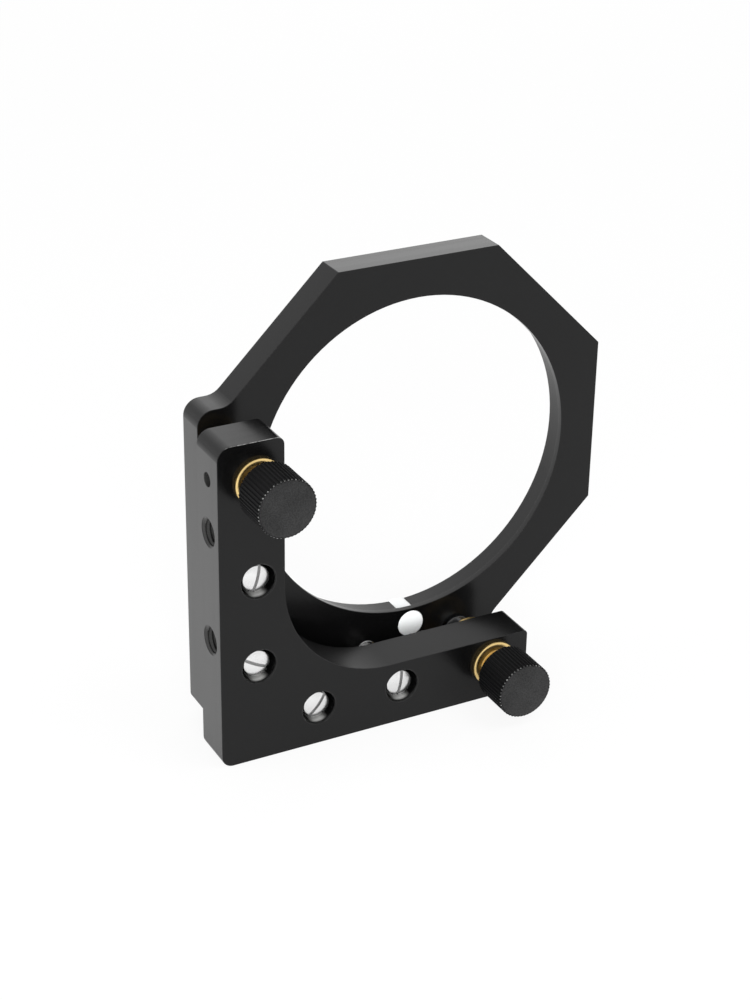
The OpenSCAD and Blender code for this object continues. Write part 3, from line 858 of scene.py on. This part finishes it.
class MOUNT_OT_back_plate(bpy.types.Operator):
    """Make the L-shaped back plate, with broken edges and its tapped mounting holes"""

    bl_idname = "mount.back_plate"
    bl_label = "Back Plate"

    def execute(self, context):
        sizes = context.scene.mount_plates
        plate = broken_edges("back_plate", context.scene.mount_edges.plate)
        taps = []
        holes = [(middle(f"{name}_lock_screw"), LOCK_HOLE) for name in ADJUSTERS]
        for mount in frame["record"]["mounts"]:
            if mount["kind"] != "threaded_hole":
                continue
            into = -Vector(mount["axis"])
            depth = mount["dims"]["length_mm"] * MM
            start = Vector(mount["pos_m"]) - into * MM
            tap = threaded_bar(
                sizes.tapped_major / 2, sizes.tapped_depth, sizes.tapped_pitch, depth + MM,
                "anodised_plate", sides=40, rows_a_turn=6,
            )
            tap.transform(place_along(into, start))
            taps.append(tap)
            holes.append((start, sizes.tapped_major / 2))
        if len(taps) != 4:
            raise RuntimeError("the frame should have four tapped mounting holes")
        piece = weighted(new_piece("back_plate_machined", cut(plate, taps)))
        low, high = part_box("back_plate")
        axes = [middle(node) for node in TENSION_SCREWS]

        def milled(centre, normal, corner):
            if centre.x < low.x + WELD or centre.z < low.z + WELD:
                return MOUNTING_FACE_GLOSS
            return TOP_GLOSS * facing_up(normal) * (centre.z > high.z - TOP_CORNER)

        def bare(centre, normal, corner):
            """Painted highlight on the lower side of each counterbore's wall, where light falls in past the
            screw's head, and a faint painted sheen in the walls of the tapped and lock holes.
            """
            axis = min(axes, key=lambda a: apart(centre, a))
            if apart(centre, axis) < sizes.counterbore / 2 and abs(normal.y) < FACING:
                turn = math.atan2(corner.x - axis.x, axis.z - corner.z) - GLINT_MIDDLE
                return min(1, max(0, GLINT_STRENGTH * (1 - abs(turn) / GLINT_REACH)))
            # painted sheen in the walls of the tapped and lock holes
            return HOLE_PAINTED_SHEEN * any(self.inside(centre, hole) for hole in holes)

        mark_faces(piece, "milled", milled)
        # painted highlights in the counterbores and holes, in the bare metal's colour
        mark_faces(piece, "bare", bare)
        dress(piece, MOUNT_BASE, "anodised_plate", ["back_plate"])
        return {"FINISHED"}

    def inside(self, centre, hole):
        """Whether a point lies in the wall of a hole in one of the mounting faces."""
        start, radius = hole
        away = centre - start
        across = math.hypot(away.y, away.z if start.x < start.z else away.x)
        return across < radius + HOLE_RIM and max(abs(away.x), abs(away.z)) < HOLE_REACH


class MOUNT_OT_optic_plate(bpy.types.Operator):
    """Make the octagonal front plate that holds the optic, with broken edges"""

    bl_idname = "mount.optic_plate"
    bl_label = "Optic Plate"

    def execute(self, context):
        plate = broken_edges("front_plate", context.scene.mount_edges.plate)
        piece = weighted(new_piece("optic_plate_machined", plate))
        low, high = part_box("front_plate")
        tab_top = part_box("back_plate")[1].z

        def milled(centre, normal, corner):
            if min(centre.x - low.x, centre.z - low.z) < WELD:
                return MOUNTING_FACE_GLOSS
            if min(high.x - centre.x, high.z - centre.z) < WELD:
                return OUTER_FLAT_GLOSS
            if math.hypot(centre.x, centre.z) < high.x - RING_WALL:
                return BORE_GLOSS * (abs(normal.y) < FACING)
            return TAB_TOP_GLOSS * facing_up(normal) * (abs(centre.z - tab_top) < TAB_REACH)

        mark_faces(piece, "milled", milled)
        dress(piece, FRONT_FRAME, "anodised_plate", ["front_plate"])
        return {"FINISHED"}


class MOUNT_OT_bushings(bpy.types.Operator):
    """Make the brass bushings, their ring nuts and the set screws that lock them"""

    bl_idname = "mount.bushings"
    bl_label = "Bushings"

    def execute(self, context):
        edges = context.scene.mount_edges
        nodes = [f"{name}_bushing" for name in ADJUSTERS]
        start, flange_r, end = lying(nodes[0])
        profile = self.profile(context.scene.mount_adjusters, edges.bushing, flange_r, end)
        mesh = mesh_of(turned(profile, closed=True), "bushing", place_along(ALONG_Y, (0, start, 0)))
        piece = new_piece("adjuster_bushings", at_stations(mesh, nodes, "brass"))
        dress(piece, MOUNT_BASE, "brass", nodes)
        for name in ADJUSTERS:
            bevelled(f"{name}_notched_nut", f"{name}_ring_nut", edges.nut, MOUNT_BASE, "brass")
            bevelled(
                f"{name}_lock_set_screw", f"{name}_lock_screw", edges.lock_screw, MOUNT_BASE,
                "set_screw_steel",
            )
        return {"FINISHED"}

    def profile(self, sizes, rounding, flange_r, end):
        """The neck, the flange with its crowned face, the body in the plate and the bore."""
        neck = sizes.neck_length
        back = neck + sizes.flange_thickness
        mouth_r = sizes.bore / 2 + sizes.bore_chamfer
        angles = [math.pi / 2 * i / RIM_STEPS for i in range(RIM_STEPS + 1)]
        crown = [
            (
                flange_r - sizes.flange_crown * (1 - math.sin(a)),
                neck + sizes.flange_side * (1 - math.cos(a)),
            )
            for a in angles
        ]
        front = [(mouth_r, 0), (sizes.neck / 2, 0), (sizes.neck / 2, neck), crown[0]]
        rear = [
            crown[-1],
            (flange_r, back),
            (sizes.body / 2, back),
            (sizes.body / 2, end),
            (mouth_r, end),
        ]
        bore = [(sizes.bore / 2, end - sizes.bore_chamfer), (sizes.bore / 2, sizes.bore_chamfer)]
        return eased(front, rounding) + crown[1:-1] + eased(rear, rounding) + bore


class MOUNT_OT_knobs(bpy.types.Operator):
    """Make the knurled knobs: a turned core with ribs round it"""

    bl_idname = "mount.knobs"
    bl_label = "Knobs"

    def execute(self, context):
        sizes = context.scene.mount_adjusters
        for name in ADJUSTERS:
            node = f"{name}_knob"
            radius, tall = lying(node)[1:]
            profile = self.core(sizes, context.scene.mount_edges.knob, radius, tall)
            core = mesh_of(turned(profile), "knob_core")
            ribs = repeated(ring_rule(), self.rib(sizes, radius, tall), {
                "Copies": sizes.ribs, "Material": finish_for("anodised_knob"),
            })
            knob = new_piece(f"{name}_knurled_knob", laid(joined("knurled_knob", [core, ribs]), node))
            mark_faces(knob, "faced", lambda centre, normal, corner: normal.y < -FACING)
            # the rib ends' chamfers that carry the painted highlight
            mark_faces(knob, "worn", lambda centre, normal, corner: -FACING < normal.y < -GLINT_SLOPE)
            dress(knob, f"{name}_adjuster", "anodised_knob", [node])
        return {"FINISHED"}

    def core(self, sizes, rounding, radius, tall):
        """The knob below its ribs: outer end at height 0, recess at the other end.
        A thin plain rim ends the knurl on either side."""
        groove = radius - sizes.rib_depth
        rim = radius - sizes.knob_chamfer
        runout = 2.5 * sizes.knob_chamfer
        floor = tall - sizes.knob_bore_depth
        bottom = floor - sizes.screw_hole_depth
        return eased([
            (0, 0),
            (rim, 0),
            (groove, runout),
            (groove, tall - runout),
            (rim, tall),
            (sizes.knob_bore / 2, tall),
            (sizes.knob_bore / 2, floor),
            (sizes.screw_hole / 2, floor),
            (sizes.screw_hole / 2, bottom),
            (0, bottom),
        ], rounding, 2)

    def rib(self, sizes, radius, tall):
        """One rib at +X, chamfered at both ends, with its foot sunk into the core."""
        top = sizes.rib_crest / 2
        land = 0.55 * top
        foot = 1.65 * top
        shoulder = 0.05 * MM
        sunk = radius - sizes.rib_depth - 0.1 * MM
        work = bmesh.new()
        rings = []
        for height, crest in (
            (0, radius - sizes.knob_chamfer),
            (sizes.knob_chamfer, radius),
            (tall - sizes.knob_chamfer, radius),
            (tall, radius - sizes.knob_chamfer),
        ):
            section = [
                (sunk, -foot), (crest - shoulder, -top), (crest, -land),
                (crest, land), (crest - shoulder, top), (sunk, foot),
            ]
            rings.append([work.verts.new((x, y, height)) for x, y in section])
        for first, second in zip(rings, rings[1:]):
            for i in range(len(first)):
                j = (i + 1) % len(first)
                work.faces.new((first[i], first[j], second[j], second[i]))
        work.faces.new(rings[0])
        work.faces.new(rings[-1])
        bmesh.ops.recalc_face_normals(work, faces=work.faces)
        return mesh_of(work, "rib")


class MOUNT_OT_adjuster_screws(bpy.types.Operator):
    """Make the fine adjuster screws and finish the balls at their tips"""

    bl_idname = "mount.adjuster_screws"
    bl_label = "Adjuster Screws"

    def execute(self, context):
        sizes = context.scene.mount_adjusters
        for name in ADJUSTERS:
            node = f"{name}_adjuster_screw"
            start, radius, tall = lying(node)
            shank = threaded_bar(
                radius, sizes.thread_depth, sizes.thread_pitch, tall - sizes.nose_length,
                "adjuster_steel", sides=48, chamfer=sizes.thread_chamfer,
            )
            ball = f"{name}_tip_ball"
            centre = middle(ball).y - start
            cup_r = lying(ball)[2] / 2 + sizes.ball_gap
            nose = mesh_of(turned(self.nose(context.scene, tall, centre, cup_r)), "nose")
            piece = new_piece(f"{name}_fine_screw", laid(joined("fine_screw", [shank, nose]), node))
            dress(piece, f"{name}_adjuster", "adjuster_steel", [node])
            keep_node(ball, "bearing_steel")
        return {"FINISHED"}

    def nose(self, scene, tall, centre, cup_r):
        """The plain nose, with a cup for the ball. It starts a little way inside the shank."""
        sunk = 0.4 * MM
        nose_r = scene.mount_adjusters.nose / 2
        start = tall - scene.mount_adjusters.nose_length - sunk
        lip = math.sqrt(cup_r ** 2 - (centre - tall) ** 2)
        outside = [(0, start), (nose_r, start), (nose_r, tall), (lip, tall)]
        angles = [math.asin(lip / cup_r) * (1 - i / CUP_STEPS) for i in range(1, CUP_STEPS + 1)]
        cup = [(cup_r * math.sin(a), centre - cup_r * math.cos(a)) for a in angles]
        return eased(outside, scene.mount_edges.nose) + cup


class MOUNT_OT_tension_screws(bpy.types.Operator):
    """Make the slotted tension screws and the inserts that they run in"""

    bl_idname = "mount.tension_screws"
    bl_label = "Tension Screws"

    def execute(self, context):
        sizes = context.scene.mount_screws
        start, head_r, tall = lying(TENSION_SCREWS[0])
        under = sizes.head_dome + sizes.head_rim
        sunk = 0.3 * MM
        shank = threaded_bar(
            sizes.shank / 2, sizes.shank_depth, sizes.shank_pitch, tall - under + sunk,
            "nickel_screw", sides=32, chamfer=sizes.shank_depth,
        )
        shank.transform(Matrix.Translation((0, 0, under - sunk)))
        mesh = joined("tension_screw", [self.head(sizes, head_r, under), shank])
        mesh.transform(place_along(ALONG_Y, (0, start, 0)))
        turns = [-a for a in sizes.slot_turns]
        screws = new_piece("tension_screws", at_stations(mesh, TENSION_SCREWS, "nickel_screw", turns))
        axes = [middle(node) for node in TENSION_SCREWS]
        floor = start + sizes.head_dome + sizes.slot_depth

        def slot_floor_shade(centre, normal, corner):
            """Painted shade on the floor of each slot."""
            axis, turn = min(zip(axes, turns), key=lambda place: apart(centre, place[0]))
            across = (centre.x - axis.x) * math.sin(turn) + (centre.z - axis.z) * math.cos(turn)
            at_floor = abs(centre.y - floor) < 0.05 * MM
            return at_floor and apart(centre, axis) < head_r and abs(across) < sizes.slot_width / 2 + WELD

        # painted shade on the floor of each slot
        mark_faces(screws, "slot", slot_floor_shade)
        dress(screws, FRONT_FRAME, "nickel_screw", TENSION_SCREWS)
        width = context.scene.mount_edges.insert
        for node in THREAD_INSERTS:
            bevelled(f"{node}_bevelled", node, width, FRONT_FRAME, "insert_steel")
        return {"FINISHED"}

    def head(self, sizes, head_r, under):
        """The domed head, with its slot cut from above."""
        dome_r = (head_r ** 2 + sizes.head_dome ** 2) / (2 * sizes.head_dome)
        radii = [head_r * i / DOME_STEPS for i in range(DOME_STEPS)]
        dome = [(r, dome_r - math.sqrt(dome_r ** 2 - r ** 2)) for r in radii]
        side = [dome[-1], (head_r, sizes.head_dome), (head_r, under), (0, under)]
        head = turned(dome[:-1] + eased(side, sizes.head_edge))
        cutter = 4 * MM
        slot = bmesh.new()
        bmesh.ops.create_cube(slot, size=1)
        slot.transform(
            Matrix.Translation((0, 0, sizes.head_dome + sizes.slot_depth - cutter / 2))
            @ Matrix.Diagonal((4 * head_r, sizes.slot_width, cutter, 1))
        )
        return cut(mesh_of(head, "screw_head"), [mesh_of(slot, "slot")])


class MOUNT_OT_disc_springs(bpy.types.Operator):
    """Make the stacks of disc springs under the tension screws' heads"""

    bl_idname = "mount.disc_springs"
    bl_label = "Disc Springs"

    def execute(self, context):
        sizes = context.scene.mount_screws
        start, disc_r, tall = lying(DISC_SPRINGS[0])
        single = sizes.disc_cone + sizes.disc_thickness
        step = (tall - single) / (sizes.disc_count - 1)
        bore_r = sizes.disc_bore / 2
        disc = mesh_of(turned([
            (bore_r, 0),
            (disc_r, sizes.disc_cone),
            (disc_r, single),
            (bore_r, sizes.disc_thickness),
        ], DISC_SIDES, closed=True), "disc")
        stack = grown(stack_rule(), {
            "Copies": sizes.disc_count, "Step": step, "Height": single,
            "Material": finish_for("spring_steel"),
        }, disc)
        for node in DISC_SPRINGS:
            piece = new_piece(f"{node}_stack", laid(stack.copy(), node))
            dress(piece, MOUNT_BASE, "spring_steel", [node])
            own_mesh(piece)
        bpy.data.meshes.remove(stack)
        return {"FINISHED"}

    def squeeze(self, place):
        """The joint that squeezes the stack at a place, and how far."""
        name = "frame_pitch" if place.x < place.z else "frame_yaw"
        joint = next(j for j in frame["joints"] if j["name"] == name)
        pivot = middle("pivot_ball")
        lever = max(place.x - pivot.x, place.z - pivot.z)
        return name, lever * math.sin(math.radians(max(joint["range_deg"])))


class MOUNT_OT_pivot(bpy.types.Operator):
    """Make the flat seat, and finish the pivot ball and the other hardened seats"""

    bl_idname = "mount.pivot"
    bl_label = "Pivot and Seats"

    def execute(self, context):
        keep_node("pivot_ball", "bearing_steel")
        for node in ("back_pivot_seat", "front_pivot_seat", "vee_seat"):
            keep_node(node, "hardened_steel")
        width = context.scene.mount_edges.flat_seat
        bevelled("flat_seat_bevelled", "flat_seat", width, FRONT_FRAME, "hardened_steel")
        return {"FINISHED"}


class MOUNT_OT_optic_holders(bpy.types.Operator):
    """Make the nylon rods and the set screw that hold the optic"""

    bl_idname = "mount.optic_holders"
    bl_label = "Optic Holders"

    def execute(self, context):
        edges = context.scene.mount_edges
        for side in ("left", "bottom"):
            bevelled(f"{side}_nylon_rod", f"{side}_optic_rod", edges.rod, FRONT_FRAME, "nylon")
        bevelled(
            "optic_hold_screw", "optic_set_screw", edges.optic_screw, FRONT_FRAME, "set_screw_steel"
        )
        keep_node("optic_screw_tip", "nylon")
        return {"FINISHED"}


# ---------- the studio ----------


class MOUNT_OT_studio(bpy.types.Operator):
    """Make the camera, the pale floor and the soft lamps"""

    bl_idname = "mount.studio"
    bl_label = "Studio"

    def execute(self, context):
        settings = context.scene.mount_studio
        self.camera(context.scene, settings)
        self.floor(context.scene)
        self.world(context.scene, settings)
        for name, (side, place) in LAMPS.items():
            self.lamp(name, getattr(settings, f"{name}_power"), side, place)
        context.scene.view_settings.view_transform = "Standard"
        return {"FINISHED"}

    def camera(self, scene, settings):
        heading, dip, roll = settings.camera_turn
        forward = Vector((
            math.sin(heading) * math.cos(dip), math.cos(heading) * math.cos(dip), -math.sin(dip),
        ))
        level = Vector((math.cos(heading), -math.sin(heading), 0))
        upright = level.cross(forward)
        right = level * math.cos(roll) + upright * math.sin(roll)
        up = upright * math.cos(roll) - level * math.sin(roll)
        data = bpy.data.cameras.new("camera")
        data.lens = settings.camera_lens
        data.sensor_width = 36
        data.shift_x, data.shift_y = settings.camera_shift
        data.clip_start = 0.01
        camera = new_piece("camera", data)
        turn = Matrix((right, up, -forward)).transposed()
        camera.matrix_world = Matrix.Translation(settings.camera_place) @ turn.to_4x4()
        scene.camera = camera

    def floor(self, scene):
        """A pale floor that the camera and the gloss see as white, with the mount's shadow on it."""
        work = bmesh.new()
        bmesh.ops.create_grid(work, x_segments=1, y_segments=1, size=FLOOR_REACH)
        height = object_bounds()[0][2]
        piece = new_piece("studio_floor", mesh_of(work, "floor", Matrix.Translation((0, 0, height))))
        finish = Finish("studio_floor")
        mottle = finish.noise(8, 2)
        matt = finish.node("ShaderNodeBsdfDiffuse", {
            "Color": finish.blend(mottle, (0.86, 0.86, 0.86), (0.9, 0.9, 0.9)),
        })
        glow = finish.node("ShaderNodeEmission", {"Strength": 1.0})
        seen = seen_rays(finish, FLOOR_WHITE, FLOOR_MIRRORED)
        mixed = finish.node("ShaderNodeMixShader", {0: seen, 1: matt, 2: glow})
        finish.node("ShaderNodeOutputMaterial", {"Surface": mixed})
        piece.data.materials.append(finish.material)
        piece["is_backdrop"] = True

    def world(self, scene, settings):
        world = bpy.data.worlds.new("studio")
        world.use_nodes = True
        scene.world = world
        graph = Graph(world.node_tree)
        graph.tree.nodes.clear()
        fill = graph.node("ShaderNodeBackground", {"Color": WHITE, "Strength": settings.world_fill})
        white = graph.node("ShaderNodeBackground", {"Color": WHITE, "Strength": 1.0})
        mixed = graph.node("ShaderNodeMixShader", {0: seen_rays(graph, 1, 1), 1: fill, 2: white})
        graph.node("ShaderNodeOutputWorld", {"Surface": mixed})

    def lamp(self, name, watts, side, place):
        data = bpy.data.lights.new(name, "AREA")
        data.energy = watts
        data.shape = "SQUARE"
        data.size = side
        lamp = new_piece(name, data)
        lamp.matrix_world = place_along(Vector(place), place)
        lamp.visible_glossy = False


def seen_rays(graph, straight, mirrored):
    """One share for camera rays, one for glossy and transmission rays, and 0 for the rest."""
    camera, glossy, through = [
        graph.node("ShaderNodeLightPath", output=f"Is {kind} Ray")
        for kind in ("Camera", "Glossy", "Transmission")
    ]
    return (camera * straight).at_least(glossy.at_least(through) * mirrored)


OPERATORS = (
    MOUNT_OT_studio,
    MOUNT_OT_back_plate,
    MOUNT_OT_optic_plate,
    MOUNT_OT_bushings,
    MOUNT_OT_knobs,
    MOUNT_OT_adjuster_screws,
    MOUNT_OT_tension_screws,
    MOUNT_OT_disc_springs,
    MOUNT_OT_pivot,
    MOUNT_OT_optic_holders,
)


class MOUNT_PT_mirror_mount(bpy.types.Panel):
    """The mirror mount's sizes, colours and pieces"""

    bl_idname = "MOUNT_PT_mirror_mount"
    bl_label = "Mirror Mount"
    bl_space_type = "VIEW_3D"
    bl_region_type = "UI"
    bl_category = "Mirror Mount"

    def draw(self, context):
        for name, group in SETTINGS.items():
            box = self.layout.box()
            box.label(text=group.__name__)
            for field in group.__annotations__:
                box.prop(getattr(context.scene, name), field)
        for operator in OPERATORS:
            self.layout.operator(operator.bl_idname)


CLASSES = (*SETTINGS.values(), *OPERATORS, MOUNT_PT_mirror_mount)


def register():
    for cls in CLASSES:
        bpy.utils.register_class(cls)
    for name, group in SETTINGS.items():
        setattr(bpy.types.Scene, name, PointerProperty(type=group))


def unregister():
    for name in SETTINGS:
        delattr(bpy.types.Scene, name)
    for cls in reversed(CLASSES):
        bpy.utils.unregister_class(cls)


def main():
    register()
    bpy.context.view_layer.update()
    for operator in OPERATORS:
        group, name = operator.bl_idname.split(".")
        getattr(getattr(bpy.ops, group), name)()


if __name__ == "__main__":
    main()
